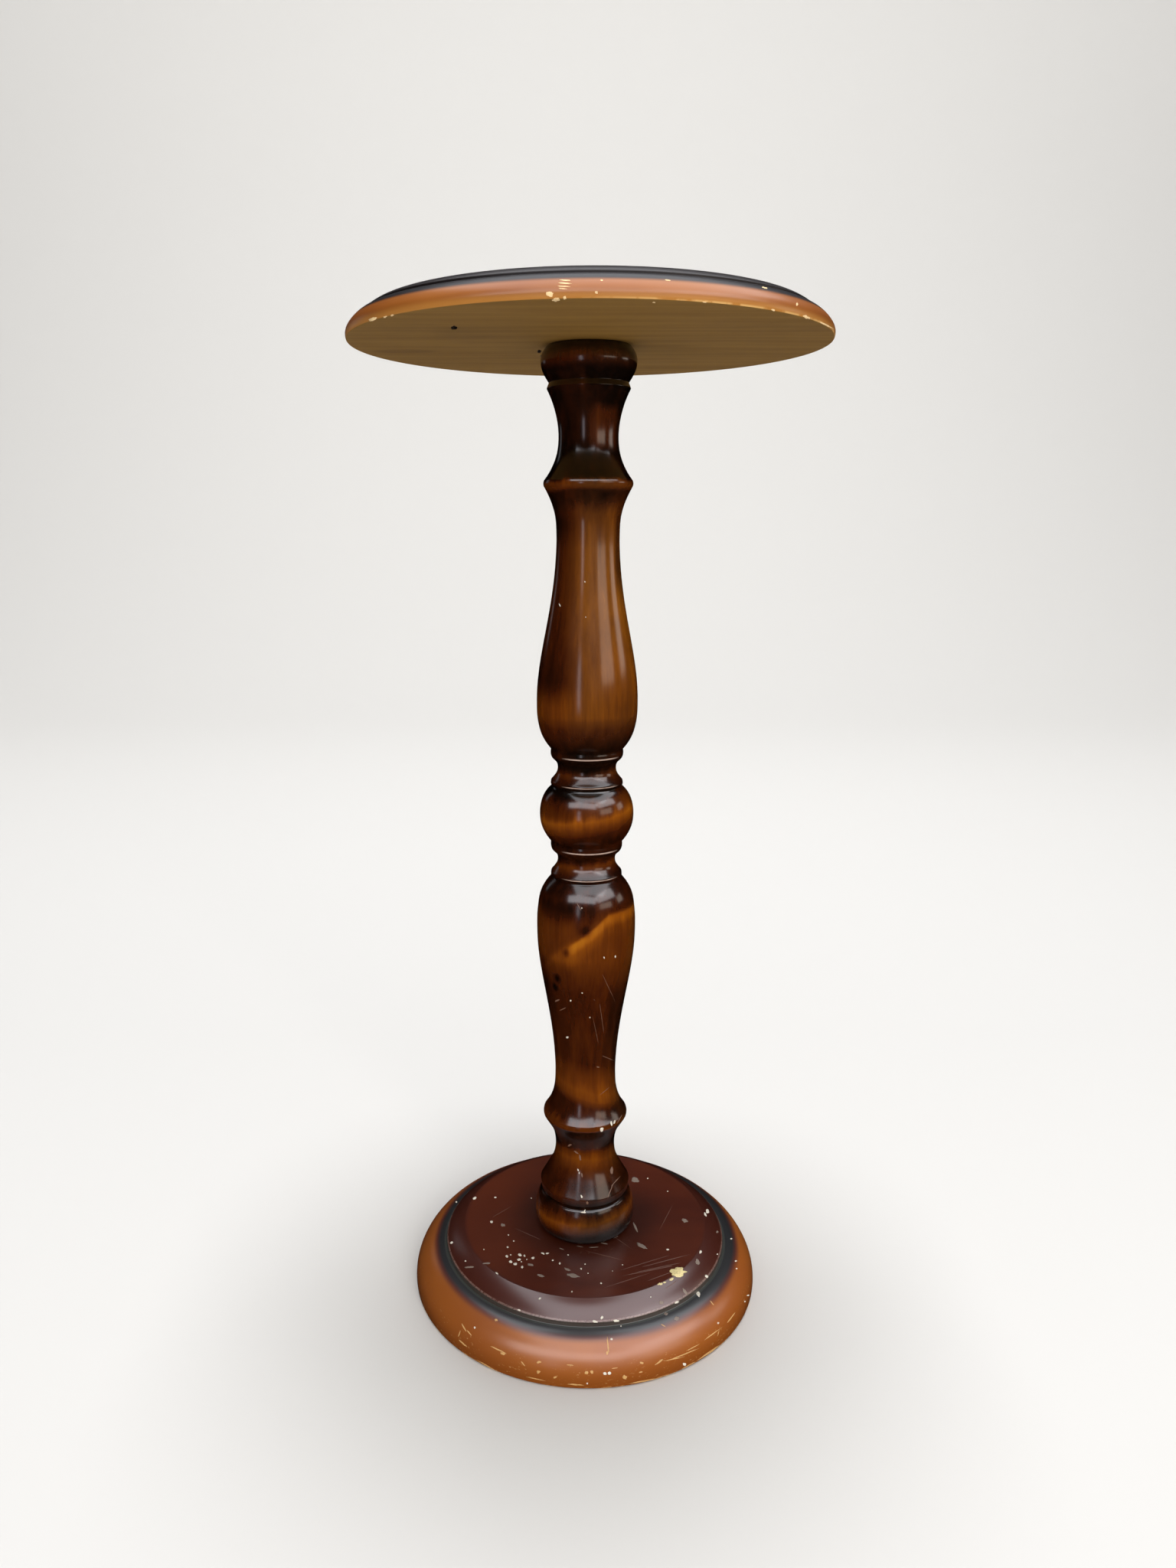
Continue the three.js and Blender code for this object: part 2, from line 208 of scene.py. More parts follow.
# How dense the sprayed toner is at each height of the column, in millimetres over the floor
FOOT_TONER = (
    (41, 1.0), (46, 1.0), (50, 0.88), (55, 0.55), (59, 0.42), (63, 0.66), (67, 0.9), (71, 1.0), (76, 0.8),
    (84, 0.85), (92, 0.72), (97, 0.6), (102, 0.5), (107, 0.62), (112, 0.95), (120, 1.0), (129, 1.0),
    (131, 0.6), (134, 0.58), (137, 0.8), (146, 0.8), (152, 0.47), (158, 0.4), (170, 0.56), (180, 0.76),
)
LOWER_TONER = (
    (180, 0.76), (200, 0.8), (222, 0.84), (235, 0.82), (250, 0.68), (262, 0.56), (282, 0.58), (290, 0.64),
    (298, 0.8), (312, 0.95), (317, 1.0), (325, 0.6), (329, 0.9), (333, 1.0), (338, 0.85), (343, 0.95),
    (350, 0.82), (356, 0.52), (362, 0.26), (367, 0.5), (374, 0.62), (380, 1.0),
)
UPPER_TONER = (
    (380, 1.0), (390, 0.6), (394, 0.9), (399, 1.0), (403, 0.82), (407, 0.92), (415, 0.8), (424, 0.65),
    (432, 0.4), (500, 0.26), (540, 0.34), (552, 0.48), (562, 0.58), (570, 0.86), (576, 0.9), (579, 0.55),
    (582, 0.55), (585, 1.0), (600, 1.0), (610, 0.88), (622, 0.9), (632, 0.97), (639, 0.95), (642, 1.0),
    (650, 1.0), (654, 0.8), (658, 0.8), (662, 0.97), (667, 1.0),
)
# Where one list of toner heights goes over to the next
LOWER_TONER_STARTS = (179, 181)
UPPER_TONER_STARTS = (379, 381)

# How far the toner bands lean from level across the column, at each height: 0.5 is level
BAND_LEAN = (
    (41, 0.6), (62, 0.6), (85, 0.4), (130, 0.5), (150, 0.15), (185, 0.3), (300, 0.5), (350, 0.68),
    (380, 0.55), (440, 0.5), (667, 0.5),
)

# Thicker toner and painted shade on the left flank: from this height to that, with this blur, and how much
# denser
FLANK_TONER_AND_SHADE = ((458, 554, 20, 0.42), (366, 380, 5, 0.08))

# Denser or thinner patches: from and to in degrees round the column, how ragged, the blur of their sides,
# from and to in height, the blur of their ends, and how much denser
PATCH_TONER = (
    (58, 82, 30, 14, 530, 550, 26, 0.3),
    (8, 52, 30, 14, 606, 624, 7, -0.16),
    (-62, -20, 0, 14, 262, 284, 10, -0.14),
)

# The bright crest that leans up to the right on the lower vase: its height in front, its rise for each
# degree round, and its highest place
CREST_FRONT = 282
CREST_RISE = 0.5
CREST_TOP = 295

# The column's colour from thin to thick toner, as sRGB, where the wood is warm and where it is drab
WARM_WOOD = (
    (0.0, (166, 98, 12)), (0.25, (134, 70, 5)), (0.5, (92, 42, 3)),
    (0.75, (58, 20, 2)), (0.9, (34, 11, 2)), (1.0, (16, 6, 2)),
)
DRAB_WOOD = (
    (0.0, (160, 98, 16)), (0.25, (120, 68, 10)), (0.5, (82, 44, 10)),
    (0.75, (52, 24, 6)), (0.9, (30, 13, 4)), (1.0, (14, 7, 3)),
)

# Painted highlights along the lips of the beads: from this height to that, and the blur
LIP_HIGHLIGHTS = ((336.3, 336.8, 0.4), (401.7, 402.2, 0.4), (382.3, 382.6, 0.3), (317.0, 317.3, 0.3))

# The paper sweep behind the object, in metres: its width, its front edge, where it starts to rise, the
# radius and steps of its bend, and its height
PAPER_WIDTH = 14
PAPER_FRONT = -6
PAPER_BACK = 2.4
PAPER_BEND = 2.2
PAPER_BEND_STEPS = 15
PAPER_TOP = 5
PAPER_COLOUR = (0.7, 0.693, 0.68, 1)

# Lights: name, place, the point it faces, width, height, power in watts and colour. Those overhead face
# a hair to the front, so that their sides stay square to the room.
FILL_LIGHTS = (
    ("overhead_fill", (0.05, 0.26, 3.8), (0.05, 0.2599, 0), 1.25, 1.25, 104, (0.97, 0.98, 1.0)),
    ("front_fill", (0.8, -2.6, 1.1), (0, 0, 0.4), 1.6, 1.6, 46, (1.0, 0.97, 0.93)),
    ("wall_wash", (0, 1.0, 3.6), (0, 4.6, 3.0), 6.5, 2.0, 90, (1.0, 0.99, 0.97)),
)
SHEEN_LIGHTS = (
    ("high_panel", (0.6, -0.4, 3.0), (0.6, -0.4001, 0), 4.0, 4.0, 196, (0.93, 0.95, 1.0)),
    ("front_panel_left", (-1.34, -5.85, 4.9), (0, 0, 0.3), 9.7, 2.6, 440, (0.93, 0.95, 1.0)),
    ("front_panel_right", (5.04, -3.27, 4.9), (0, 0, 0.3), 6.7, 2.6, 290, (0.97, 0.95, 0.97)),
    ("wide_panel", (1.65, -1.48, 0.88), (0, 0, 0.7), 1.25, 0.56, 6.2, (1.0, 0.85, 0.7)),
    ("side_panel", (2.2, 0.1, 0.88), (0, 0, 0.7), 0.7, 0.56, 3.4, (1.0, 0.88, 0.76)),
    ("narrow_panel", (-0.57, -1.58, 0.52), (0, 0, 0.45), 0.2, 0.7, 1.25, (0.88, 0.9, 1.0)),
    ("back_panel", (-1.6, 1.45, 1.0), (0, 0, 0.7), 0.3, 0.8, 0.4, (0.9, 0.94, 1.0)),
)
SURROUNDINGS_COLOUR = (1.0, 0.985, 0.96, 1)
SURROUNDINGS_STRENGTH = 0.5


def cad_outline(node):
    """Radius and height of each point of a turned node's outline, from its lower pole to its upper one."""
    solid = bmesh.new()
    solid.from_mesh(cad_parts[node].data)
    bmesh.ops.remove_doubles(solid, verts=solid.verts, dist=SOLID_GAP)
    waiting = {v for v in solid.verts if abs(v.co.x) < SOLID_GAP and v.co.y < SOLID_GAP}
    point = min((v for v in waiting if v.co.y > -SOLID_GAP), key=lambda v: v.co.z)
    outline = []
    while point:
        outline.append(Vector((-point.co.y, point.co.z)))
        waiting.discard(point)
        neighbours = (edge.other_vert(point) for edge in point.link_edges)
        point = next((v for v in neighbours if v in waiting), None)
    solid.free()
    return outline


def bezier(handles, count):
    """Points along the curve that four handles in the outline's plane make."""
    return [p.to_2d() for p in geometry.interpolate_bezier(*(h.to_3d() for h in handles), count)]


def smooth_span(points):
    """Points close together on the smooth curve through a span of an outline."""
    if len(points) == 2:
        count = max(1, math.ceil((points[1] - points[0]).length / OUTLINE_STEP))
        return [points[0].lerp(points[1], i / count) for i in range(count + 1)]
    chords = [b - a for a, b in zip(points, points[1:])]
    slopes = [chord.normalized() for chord in chords]
    leans = []
    for i in range(1, len(points) - 1):
        before, after = chords[i - 1].length, chords[i].length
        leans.append((slopes[i - 1] * after + slopes[i] * before) / (before + after))
    leans = [2 * slopes[0] - leans[0], *leans, 2 * slopes[-1] - leans[-1]]
    span = [points[0]]
    for i, chord in enumerate(chords):
        reach = chord.length / 3
        count = math.ceil(chord.length / OUTLINE_STEP)
        count = max(1, count, math.ceil(leans[i].angle(leans[i + 1]) / OUTLINE_BEND))
        start, end = points[i], points[i + 1]
        span += bezier((start, start + leans[i] * reach, end - leans[i + 1] * reach, end), count + 1)[1:]
    return span


def trimmed(span, at_start, at_end):
    """A span cut back from its crisp ends, with a second point near each end that keeps the shading flat."""
    first, last = span[0], span[-1]
    middle = [p for p in span if not (at_start and (p - first).length < ARRIS_REACH)]
    middle = [p for p in middle if not (at_end and (p - last).length < ARRIS_REACH)]
    start_lean = ((middle[0] if middle else last) - first).normalized()
    end_lean = ((middle[-1] if middle else first) - last).normalized()
    room = (last - first).length / 3
    ease = min(ARRIS_EASE, room)
    reach = min(ARRIS_REACH, room * 1.4)
    start = [first + start_lean * ease, first + start_lean * reach] if at_start else []
    end = [last + end_lean * reach, last + end_lean * ease] if at_end else []
    return start + middle + end


def fair_outline(outline, arrises):
    """The outline with smooth sweeps between its arrises, and each arris just eased."""
    corners = {0, len(outline) - 1}
    for radius, height in arrises:
        place = Vector((radius * MM, height * MM))
        corners.add(min(range(len(outline)), key=lambda i: (outline[i] - place).length))
    corners = sorted(corners)
    fair = []
    for a, b in zip(corners, corners[1:]):
        span = trimmed(smooth_span(outline[a : b + 1]), a != corners[0], b != corners[-1])
        if fair:
            before, arris, after = fair[-1], outline[a], span[0]
            handles = (before, before.lerp(arris, ARRIS_FULLNESS), after.lerp(arris, ARRIS_FULLNESS), after)
            fair += bezier(handles, 5)[1:-1]
        fair += span
    return fair


def finished(name, shape):
    """An object from a bmesh, shaded smooth."""
    for face in shape.faces:
        face.smooth = True
    mesh = bpy.data.meshes.new(name)
    shape.to_mesh(mesh)
    shape.free()
    piece = bpy.data.objects.new(name, mesh)
    bpy.context.scene.collection.objects.link(piece)
    return piece


def turned(name, node, arrises, sides):
    """A piece for its CAD node: a quarter is turned from the node's outline, then mirrored twice."""
    lathe = bmesh.new()
    outline = cad_outline(node)
    widest = max(p.x for p in outline)
    rim = [lathe.verts.new((0, -min(p.x, widest), p.y)) for p in fair_outline(outline, arrises)]
    edges = [lathe.edges.new(pair) for pair in zip(rim, rim[1:])]
    bmesh.ops.spin(
        lathe, geom=rim + edges, cent=(0, 0, 0), axis=(0, 0, 1), dvec=(0, 0, 0),
        angle=math.pi / 2, steps=sides // 4,
    )
    for axis in "XY":
        half = lathe.verts[:] + lathe.edges[:] + lathe.faces[:]
        bmesh.ops.mirror(lathe, geom=half, matrix=Matrix.Identity(4), merge_dist=SEAM_GAP, axis=axis)
    bmesh.ops.remove_doubles(lathe, verts=lathe.verts, dist=SEAM_GAP)
    bmesh.ops.recalc_face_normals(lathe, faces=lathe.faces)
    piece = finished(name, lathe)
    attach(piece, "root")
    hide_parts(node)
    return piece


def surface_of(piece):
    """The faces of a piece, for finding places on it."""
    mesh = piece.data
    return BVHTree.FromPolygons([v.co for v in mesh.vertices], [f.vertices[:] for f in mesh.polygons])


def photo_spot(surface, across, down):
    """Where the camera's line of sight through a pixel of the photograph meets a surface, and its facing
    there. A line that just misses the surface gives the nearest place on it."""
    sight = Vector((across - AXIS_PIXEL, PHOTO_HEIGHT / 2 - down, -FOCAL_PIXELS))
    sight = Matrix.Rotation(math.radians(90 - CAMERA_TILT), 3, "X") @ sight
    place, facing = surface.ray_cast(CAMERA_PLACE, sight)[:2]
    if place:
        return place, facing
    return surface.find_nearest(CAMERA_PLACE + sight * (EDGE_DISTANCE / sight.y))[:2]


def draped_marks(name, carrier, groups):
    """Thin ragged flakes that lie on the piece that carries them, each where the photograph shows it."""
    surface = surface_of(carrier)
    marks = bmesh.new()
    tint = marks.verts.layers.float_color.new("tint")
    for colour, thickness, fineness, spots in groups:
        paint = shade(*colour)
        for across, down, wide, tall, turn in spots:
            lean = Matrix.Rotation(math.radians(turn), 2)
            seed = Vector((rng.uniform(0, 90), rng.uniform(0, 90), 0))
            flake = bmesh.ops.create_icosphere(marks, subdivisions=fineness, radius=1)["verts"]
            for v in flake:
                waves = noise.fractal(v.co.xy.to_3d() * FLAKE_WAVES + seed, 1, 2, 3)
                size = 1 + FLAKE_STRAY * waves
                shift = lean @ Vector((v.co.x * wide / 2, v.co.y * tall / 2)) * size
                place, facing = photo_spot(surface, across + shift.x, down - shift.y)
                place = place + facing * (v.co.z * thickness + FLAKE_LIFT) * MM
                v.co = [min(max(c, low), high) for c, low, high in zip(place, *cad_box)]
                v[tint] = paint
    bmesh.ops.recalc_face_normals(marks, faces=marks.faces)
    piece = finished(name, marks)
    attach(piece, "root")
    piece.data.materials.append(flake_finish())
    return piece


def shade(red, green, blue):
    """An sRGB colour from 0 to 255 as the linear colour of a socket."""
    def linear(c):
        c /= 255
        return c / 12.92 if c <= 0.04045 else ((c + 0.055) / 1.055) ** 2.4
    return (linear(red), linear(green), linear(blue), 1)


class Socket:
    """An output of a shader node; arithmetic written with it adds Math nodes."""

    def __init__(self, finish, output):
        self.finish = finish
        self.output = output

    def sum(self, operation, first, second):
        """A Math node of this operation."""
        sockets = {"Value": first, "Value_001": second}
        return self.finish.add("ShaderNodeMath", {"operation": operation}, sockets)

    def __add__(self, other):
        return self.sum("ADD", self, other)

    def __radd__(self, other):
        return self.sum("ADD", other, self)

    def __sub__(self, other):
        return self.sum("SUBTRACT", self, other)

    def __rsub__(self, other):
        return self.sum("SUBTRACT", other, self)

    def __mul__(self, other):
        return self.sum("MULTIPLY", self, other)

    def __truediv__(self, other):
        return self.sum("DIVIDE", self, other)

    def __pow__(self, other):
        return self.sum("POWER", self, other)

    def either(self, other):
        """The greater of two values."""
        return self.sum("MAXIMUM", self, other)

    def both(self, other):
        """The lesser of two values."""
        return self.sum("MINIMUM", self, other)

    def angle(self, run):
        """The angle, in radians, whose tangent is this value over the run."""
        return self.sum("ARCTAN2", self, run)

    def swing(self, width):
        """Noise from 0 to 1 made to swing about 0, over this width."""
        return (self - 0.5) * width


class Finish:
    """A material made of nodes around one Principled shader."""

    def __init__(self, name, **constants):
        self.material = bpy.data.materials.new(name)
        self.material.use_nodes = True
        self.nodes = self.material.node_tree.nodes
        self.links = self.material.node_tree.links
        self.shader = self.nodes["Principled BSDF"]
        for socket, value in constants.items():
            name = socket.replace("_", " ").title().replace("Ior", "IOR")
            self.shader.inputs[name].default_value = value
        self.place = self.add("ShaderNodeTexCoord", out="Object")

    def add(self, kind, settings=None, sockets=None, out=None):
        """Add a node of this kind; its settings are set first, then its sockets, by identifier."""
        made = self.nodes.new(kind)
        for key, value in (settings or {}).items():
            if key == "stops":
                while len(made.color_ramp.elements) < len(value):
                    made.color_ramp.elements.new(1)
                for element, (position, colour) in zip(made.color_ramp.elements, value):
                    element.position, element.color = position, colour
            else:
                setattr(made, key, value)
        self.feed(made, sockets or {})
        output = made.outputs[out] if out else next(o for o in made.outputs if o.enabled)
        return Socket(self, output)

    def feed(self, target, sockets):
        """Link or set sockets of a node."""
        for key, value in sockets.items():
            socket = next(s for s in target.inputs if s.identifier == key)
            if isinstance(value, Socket):
                self.links.new(value.output, socket)
            else:
                socket.default_value = value

    def mix(self, amount, first, second):
        """The first colour, going over to the second as the amount goes from 0 to 1."""
        sockets = {"Factor_Float": amount, "A_Color": first, "B_Color": second}
        return self.add("ShaderNodeMix", {"data_type": "RGBA"}, sockets)

    def step(self, value, start, end):
        """0 up to start and 1 from end on, or the other way where end is below start."""
        sockets = {"Value": value, "From Min": start, "From Max": end}
        return self.add("ShaderNodeMapRange", {"interpolation_type": "SMOOTHSTEP"}, sockets)

    def band(self, value, low, high, blur):
        """1 between low and high, fading out over the blur on both sides."""
        return self.step(value, low - blur, low).both(self.step(value, high + blur, high))

    def stretched(self, scale):
        """Object coordinates scaled along each axis."""
        return self.add("ShaderNodeMapping", {}, {"Vector": self.place, "Scale": scale})

    def noise(self, scale, vector=None, detail=3, roughness=0.5):
        """Cloudy noise from 0 to 1."""
        sockets = {"Vector": vector or self.place, "Scale": scale, "Detail": detail, "Roughness": roughness}
        return self.add("ShaderNodeTexNoise", {}, sockets)

    def ramp(self, value, stops):
        """A colour for each value; stops are (position, colour) pairs."""
        return self.add("ShaderNodeValToRGB", {"stops": stops}, {"Fac": value})

    def along(self, height, stops):
        """A value that changes with height, from a list of heights and values."""
        low, high = stops[0][0], stops[-1][0]
        greys = [((z - low) / (high - low), (value, value, value, 1)) for z, value in stops]
        return self.ramp((height - low) / (high - low), greys)

    def places(self):
        """Millimetres to the right, to the back, out from the upright axis and over the floor."""
        parts = [self.add("ShaderNodeSeparateXYZ", {}, {"Vector": self.place}, out=axis) for axis in "XYZ"]
        across, back, height = (part * 1000 for part in parts)
        return across, back, (across * across + back * back) ** 0.5, height

    def bump(self, height, distance, strength):
        """Relief of this height."""
        sockets = {"Height": height, "Distance": distance, "Strength": strength}
        return self.add("ShaderNodeBump", {}, sockets)


def flake_finish():
    """Dry paint drops, bare chips and dust, each of its own colour."""
    finish = Finish("paint_and_chips", roughness=0.6)
    tint = finish.add("ShaderNodeAttribute", {"attribute_name": "tint"}, out="Color")
    soiled = finish.step(finish.noise(700, detail=2), 0.45, 0.75) * 0.35
    finish.feed(finish.shader, {"Base Color": finish.mix(soiled, tint, shade(128, 92, 58))})
    return finish.material


def base_finish():
    """Red-brown lacquer on the flat and bevel, a sprayed dark ring at the step and an orange edge, with
    painted shade round the foot and on the edge's left, and a painted highlight on the step's lip.
    """
    finish = Finish("base_board_lacquer", specular_ior_level=0.2, coat_weight=0.9, coat_roughness=0.27)
    across, back, radius, height = finish.places()
    cloud = finish.noise(9, detail=4)
    streak = finish.noise(14, finish.stretched((1, 2, 1)))
    speck = finish.noise(620, roughness=0.7)
    inside_step = finish.step(radius, BASE_STEP + 0.3, BASE_STEP - 0.2)

    orange, deep_orange = shade(168, 92, 11), shade(153, 78, 6)
    low_orange, shaded_left_orange = shade(132, 66, 3), shade(126, 60, 4)
    spray_haze, spray_black = shade(84, 34, 22), shade(34, 34, 36)
    edge = finish.mix(finish.step(cloud, 0.35, 0.7), orange, deep_orange)
    edge = finish.mix(finish.step(height, 18, 3) * 0.7, edge, low_orange)
    # Painted shade: the edge darker on its left, away from the light
    edge = finish.mix(finish.step(across, 20, -120) * 0.45, edge, shaded_left_orange)
    spray = radius - across * 0.014 + cloud.swing(2.5) + streak.swing(1.5)
    edge = finish.mix(finish.step(spray, 117.0, 112.5), edge, spray_haze)
    edge = finish.mix(finish.step(spray, 113.8, 110.2), edge, spray_black)

    red_brown, light_red_brown = shade(72, 24, 8), shade(90, 34, 10)
    bevel_brown, left_brown, painted_foot_shade = shade(72, 28, 16), shade(98, 38, 6), shade(46, 18, 10)
    flat = finish.mix(finish.step(streak, 0.3, 0.75), red_brown, light_red_brown)
    flat = finish.mix(finish.step(radius, BASE_FIELD - 2, BASE_FIELD + 1), flat, bevel_brown)
    on_left = finish.step(across + cloud.swing(50), -10, -70)
    flat = finish.mix(on_left * finish.step(radius, BASE_FIELD, BASE_FIELD - 3) * 0.55, flat, left_brown)
    # Painted shade round the column's foot, with the dark foot's painted reflection in the lacquer
    flat = finish.mix(finish.step(radius + cloud.swing(16), 66, 38) * 0.5, flat, painted_foot_shade)
    dusty = finish.band(radius, 38.5, 42, 2.5) * finish.step(speck, 0.56, 0.7) * finish.step(cloud, 0.45, 0.6)
    flat = finish.mix(dusty * 0.5, flat, shade(128, 104, 90))

    colour = finish.mix(inside_step, edge, flat)
    # A painted highlight along the lip of the step
    step_lip_highlight = finish.band(radius, BASE_STEP - 0.8, BASE_STEP - 0.2, 0.3) * finish.step(speck, 0.3, 0.6) * 0.5
    colour = finish.mix(step_lip_highlight, colour, shade(158, 128, 118))
    # A grey line in the groove just outside the step
    grey_groove = finish.band(radius, BASE_STEP + 0.1, BASE_STEP + 1.7, 0.6) * 0.45
    colour = finish.mix(grey_groove, colour, shade(72, 76, 68))

    round_edge = back.angle(across) * BASE_EDGE
    unrolled = finish.add("ShaderNodeCombineXYZ", {}, {"X": round_edge, "Y": height * 2.4, "Z": 0.0})
    nick = finish.noise(0.34, unrolled, detail=4, roughness=0.65)
    patchy = finish.noise(0.05, unrolled, detail=2)
    scuffs = finish.step(height, 20, 11) * finish.step(patchy, 0.42, 0.6)
    scuffs = scuffs * finish.step(nick, 0.59, 0.68) * 0.6
    worn = finish.step(height, 2.4, 0.8) * finish.step(patchy + nick.swing(1), 0.52, 0.66)
    worn = worn * finish.step(radius, 124, 126)
    colour = finish.mix(scuffs.either(worn) * finish.step(radius, 112, 118), colour, shade(222, 170, 104))

    finish.feed(finish.shader, {
        "Base Color": colour,
        "Roughness": inside_step * -0.16 + 0.46 + cloud.swing(0.1),
        "Normal": finish.bump(finish.noise(420, detail=2), 0.0001, 0.25),
    })
    return finish.material


def top_finish(board):
    """The same lacquer on the top board, with a bare underside."""
    finish = Finish("top_board_lacquer", specular_ior_level=0.15, coat_roughness=0.3)
    across, back, radius, height = finish.places()
    rise = height - TOP_UNDERSIDE
    cloud = finish.noise(9, detail=4)
    grain = finish.noise(60, finish.stretched((0.12, 1.6, 1)), detail=5, roughness=0.6)

    orange, deep_orange, low_orange = shade(152, 88, 26), shade(136, 73, 16), shade(178, 120, 50)
    edge = finish.mix(finish.step(cloud, 0.35, 0.7), orange, deep_orange)
    edge = finish.mix(finish.step(rise, 5, 1) * 0.8, edge, low_orange)
    edge = finish.mix(finish.step(rise, 9, 11.4), edge, shade(26, 23, 25))
    worn = finish.step(rise, 1.5, 0.5) * finish.step(finish.noise(90, detail=4), 0.44, 0.56)
    edge = finish.mix(worn * finish.step(across, -30, 50) * 0.7, edge, shade(220, 176, 110))

    red_brown, light_red_brown, border = shade(64, 22, 8), shade(80, 30, 11), shade(30, 24, 24)
    flat = finish.mix(finish.step(grain, 0.3, 0.75), red_brown, light_red_brown)
    flat = finish.mix(finish.step(radius, 124, 131), flat, border)
    colour = finish.mix(finish.step(radius, TOP_STEP + 0.4, TOP_STEP - 0.1), edge, flat)

    pale_wood, light_pale_wood, grey_wood = shade(124, 90, 37), shade(138, 102, 45), shade(98, 74, 44)
    bare = finish.mix(finish.step(grain, 0.3, 0.72), pale_wood, light_pale_wood)
    bare = finish.mix(finish.step(cloud, 0.55, 0.8) * 0.4, bare, grey_wood)
    stain = photo_spot(surface_of(board), *UNDERSIDE_STAIN)[0] / MM
    away = (((across - stain.x) * 0.03) ** 2 + ((back - stain.y) * 0.075) ** 2) ** 0.5 + cloud.swing(1.2)
    bare = finish.mix(finish.step(away, 0.75, 0.35) * 0.35, bare, shade(92, 64, 30))
    underside = finish.step(rise, 0.35, 0.1) * finish.step(radius, 152.3, 151.9)
    colour = finish.mix(underside, colour, bare)

    edge_coat = finish.step(rise, 8.5, 11) * -0.36 + 0.46
    middle_coat = finish.step(radius, 131, 126) * 0.7
    finish.feed(finish.shader, {
        "Base Color": colour,
        "Roughness": underside * 0.3 + 0.4 + cloud.swing(0.1),
        "Coat Weight": (edge_coat + middle_coat) * (1 - underside),
        "Normal": finish.bump(grain, 0.0002, 0.2),
    })
    return finish.material


def column_finish():
    """Clear gloss lacquer over amber wood with sprayed dark toner, painted shade and painted highlights."""
    finish = Finish("column_lacquer", specular_ior_level=0.0, coat_weight=1.0, coat_roughness=0.17)
    across, back, _, height = finish.places()
    around = across.angle(back * -1) * math.degrees(1)
    streak = finish.noise(170, finish.stretched((1, 1, 0.12)), detail=4, roughness=0.6)
    grain = finish.noise(520, finish.stretched((1, 1, 0.03)), detail=4, roughness=0.65)
    cloud = finish.noise(22, finish.stretched((1, 1, 0.6)))
    drift = finish.noise(9, finish.stretched((1, 1, 0.5)), detail=2)

    lean = finish.along(height, BAND_LEAN).swing(1) * across
    wander = height - lean + streak.swing(4) + cloud.swing(7)
    toner = finish.along(wander, FOOT_TONER)
    toner = finish.mix(finish.step(wander, *LOWER_TONER_STARTS), toner, finish.along(wander, LOWER_TONER))
    toner = finish.mix(finish.step(wander, *UPPER_TONER_STARTS), toner, finish.along(wander, UPPER_TONER))

    # The left flank is darker: partly thicker toner, partly painted shade
    flank = finish.step(across + cloud.swing(10) + streak.swing(6), -1, -20)
    for low, high, blur, density in FLANK_TONER_AND_SHADE:
        toner = flank * finish.band(wander, low, high, blur) * density + toner
    for start, end, ragged, side_blur, low, high, blur, density in PATCH_TONER:
        sector = finish.band(around + cloud.swing(ragged), start, end, side_blur)
        toner = sector * finish.band(wander, low, high, blur) * density + toner

    crest = (around * CREST_RISE + CREST_FRONT).both(CREST_TOP) + streak.swing(4) + cloud.swing(6)
    under_crest = finish.step(height, crest + 3, crest - 1) * finish.band(around, -14, 80, 12)
    glow = finish.step(height, crest - 18, crest) * 0.5 + finish.step(height, crest - 9, crest - 2) * 0.5
    over_crest = finish.step(height, crest, crest + 7) * finish.step(height, 306, 298)
    over_crest = over_crest * finish.band(around, -60, 4, 14)
    toner = toner - under_crest * glow * 0.43 + over_crest * 0.16
    toner = toner + cloud.swing(0.45) + drift.swing(0.35) + streak.swing(0.38) + grain.swing(0.18)

    for knot_around, knot_height, size in COLUMN_KNOTS:
        away = (((around - knot_around) * 0.45) ** 2 + ((height - knot_height) * 0.7) ** 2) ** 0.5
        toner = finish.step(away + streak.swing(5) + cloud.swing(3), size, 0) * 0.3 + toner

    warm = finish.ramp(toner, [(density, shade(*colour)) for density, colour in WARM_WOOD])
    drab = finish.ramp(toner, [(density, shade(*colour)) for density, colour in DRAB_WOOD])
    colour = finish.mix(finish.step(drift, 0.4, 0.6) * (1 - flank), warm, drab)
    # Painted highlights on the beads' lips, strongest towards the front
    lips = 0
    for low, high, blur in LIP_HIGHLIGHTS:
        lips = finish.band(height, low, high, blur).either(lips)
    lips = lips * finish.band(around, -22, 36, 26) * (streak + 0.2)
    colour = finish.mix(lips, colour, shade(200, 174, 160))

    finish.feed(finish.shader, {
        "Base Color": colour,
        "Roughness": 0.45 + cloud.swing(0.1),
        "Normal": finish.bump(grain, 0.0001, 0.06),
    })
    return finish.material


def area_light(name, place, aim, width, height, power, colour):
    """A soft rectangular light that faces a point."""
    light = bpy.data.lights.new(name, "AREA")
    light.shape = "RECTANGLE"
    light.size = width
    light.size_y = height
    light.energy = power
    light.color = colour
    lamp = bpy.data.objects.new(name, light)
    lamp.location = place
    lamp.rotation_euler = (Vector(aim) - Vector(place)).to_track_quat("-Z", "Y").to_euler()
    bpy.context.scene.collection.objects.link(lamp)
    return lamp


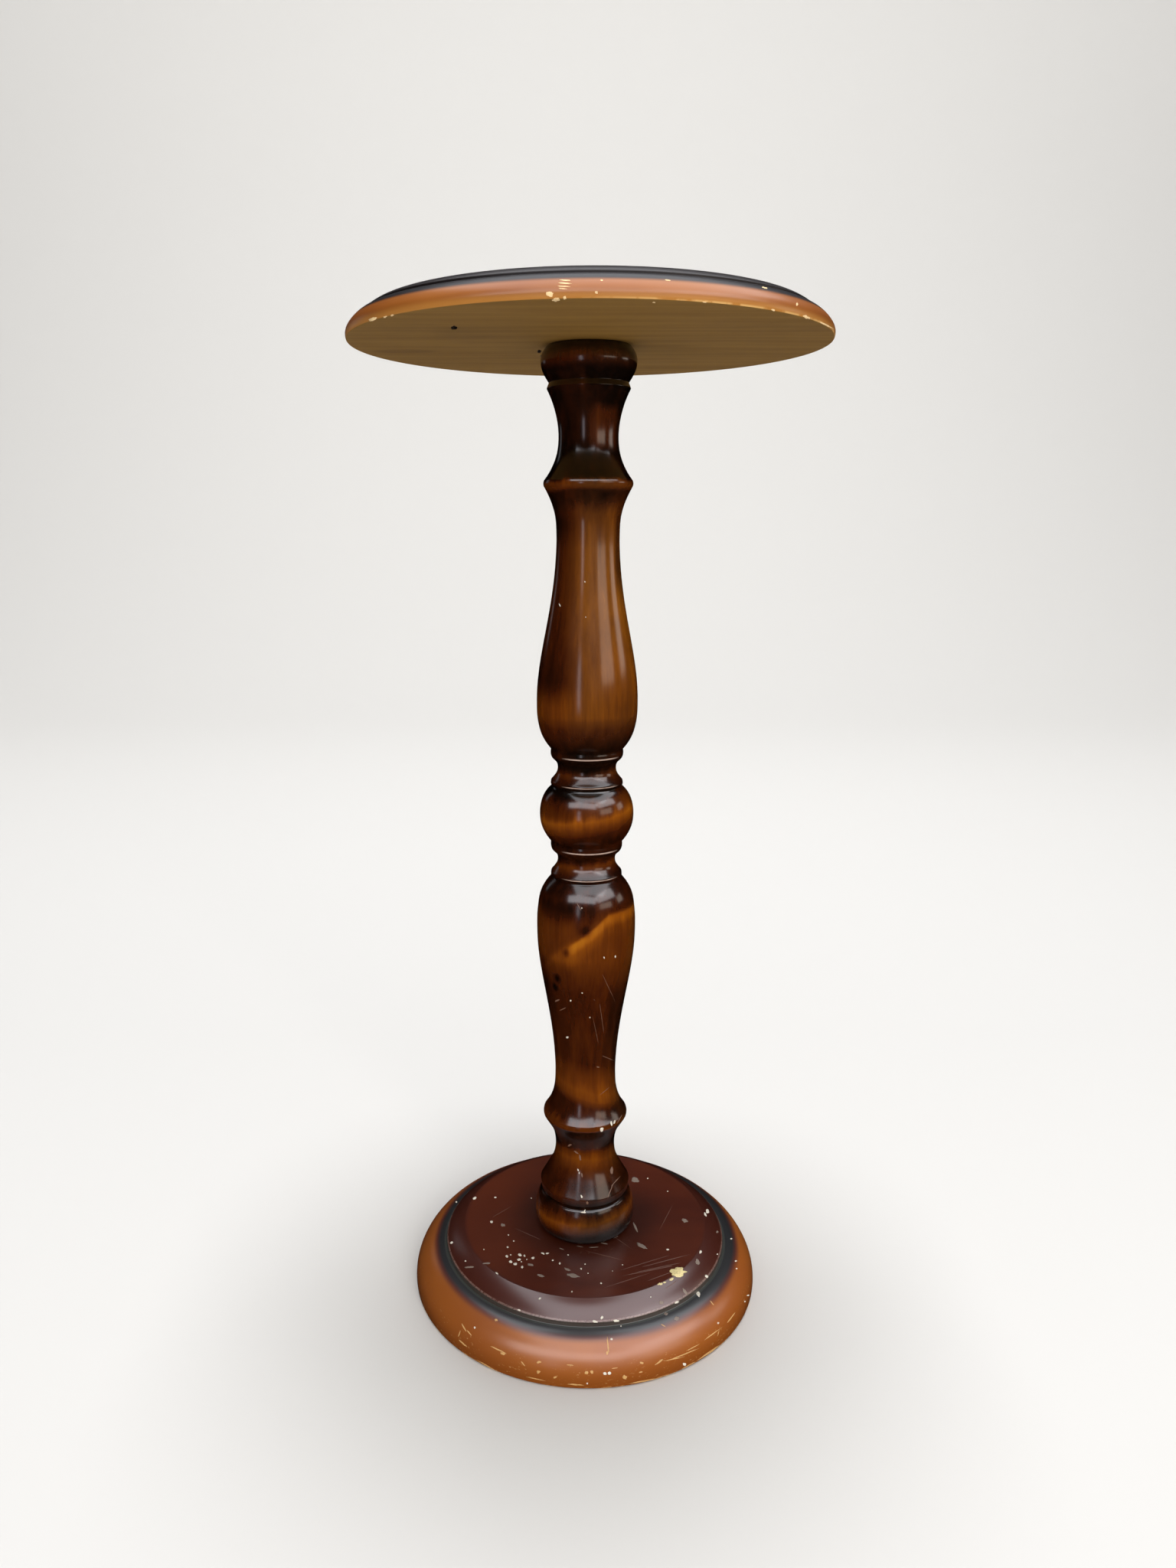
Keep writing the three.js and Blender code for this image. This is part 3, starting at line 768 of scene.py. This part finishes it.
def paper_sweep():
    """Pale paper that lies on the floor and bends up behind the object."""
    curve = [Vector((0, PAPER_FRONT, 0)), Vector((0, PAPER_BACK, 0))]
    for i in range(1, PAPER_BEND_STEPS + 1):
        turn = math.pi / 2 * i / PAPER_BEND_STEPS
        curve.append(Vector((0, PAPER_BACK + PAPER_BEND * math.sin(turn), PAPER_BEND * (1 - math.cos(turn)))))
    curve.append(Vector((0, PAPER_BACK + PAPER_BEND, PAPER_TOP)))
    sheet = bmesh.new()
    left = [sheet.verts.new(p - Vector((PAPER_WIDTH / 2, 0, 0))) for p in curve]
    edges = [sheet.edges.new(pair) for pair in zip(left, left[1:])]
    swept = bmesh.ops.extrude_edge_only(sheet, edges=edges)
    moved = [v for v in swept["geom"] if isinstance(v, bmesh.types.BMVert)]
    bmesh.ops.translate(sheet, verts=moved, vec=(PAPER_WIDTH, 0, 0))
    bmesh.ops.recalc_face_normals(sheet, faces=sheet.faces)
    backdrop = finished("backdrop", sheet)
    paper = Finish("backdrop_paper", base_color=PAPER_COLOUR, roughness=1.0, specular_ior_level=0.0)
    backdrop.data.materials.append(paper.material)
    backdrop.visible_glossy = False


def studio():
    """The paper sweep, soft lights that fill, panels that only the lacquer mirrors, and a pale room."""
    paper_sweep()
    for light in FILL_LIGHTS:
        area_light(*light).visible_glossy = False
    for light in SHEEN_LIGHTS:
        area_light(*light).visible_diffuse = False
    world = bpy.data.worlds.new("pale_surroundings")
    bpy.context.scene.world = world
    world.use_nodes = True
    world.node_tree.nodes["Background"].inputs["Color"].default_value = SURROUNDINGS_COLOUR
    world.node_tree.nodes["Background"].inputs["Strength"].default_value = SURROUNDINGS_STRENGTH
    world.cycles_visibility.glossy = False


def photo_camera():
    """The camera as it stood for the photograph."""
    lens = bpy.data.cameras.new("camera")
    lens.sensor_width = SENSOR_MM
    lens.lens = SENSOR_MM * FOCAL_PIXELS / PHOTO_HEIGHT
    lens.shift_x = (PHOTO_WIDTH / 2 - AXIS_PIXEL) / PHOTO_HEIGHT
    lens.clip_start = 0.05
    camera = bpy.data.objects.new("camera", lens)
    camera.location = CAMERA_PLACE
    camera.rotation_euler = (math.radians(90 - CAMERA_TILT), 0, 0)
    bpy.context.scene.collection.objects.link(camera)
    bpy.context.scene.camera = camera


base_board = turned("base_board_turned", "base_board", BASE_ARRISES, BOARD_SIDES)
column = turned("column_turned", "column", COLUMN_ARRISES, COLUMN_SIDES)
top_board = turned("top_board_turned", "top_board", TOP_ARRISES, BOARD_SIDES)
base_board.data.materials.append(base_finish())
column.data.materials.append(column_finish())
top_board.data.materials.append(top_finish(top_board))

draped_marks("base_board_marks", base_board, BASE_MARKS)
draped_marks("column_marks", column, COLUMN_MARKS)
draped_marks("top_board_marks", top_board, TOP_MARKS)

studio()
photo_camera()
bpy.context.scene.view_settings.view_transform = "Standard"
